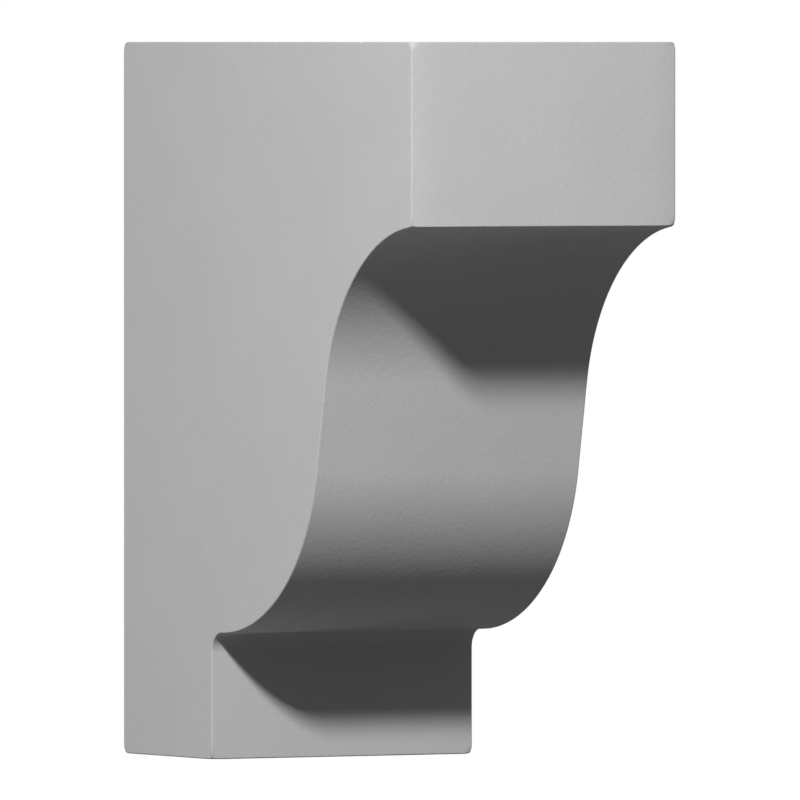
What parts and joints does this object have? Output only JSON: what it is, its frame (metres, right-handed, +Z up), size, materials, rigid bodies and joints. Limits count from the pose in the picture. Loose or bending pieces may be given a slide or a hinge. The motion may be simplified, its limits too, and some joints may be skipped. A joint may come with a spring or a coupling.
{
  "type": "urethane corbel",
  "caption": "Plain cast urethane corbel: a square cap over a cove, a straight waist, an ovolo and a square foot, flat at the back and on top.",
  "frame": {"origin": "centre of the flat back face, where the corbel is fixed to the wall", "axes": "+Y goes into the wall, out of the back face; +Z is up, towards the face that carries the shelf or beam; +X runs along the wall, to the right for someone facing the corbel"},
  "size_m": [0.127, 0.254, 0.3048],
  "materials": {
    "primed_urethane": "moulded urethane with a matt light grey primer"
  },
  "bodies": {
    "root": {"corbel": "primed_urethane"}
  },
  "joints": []
}
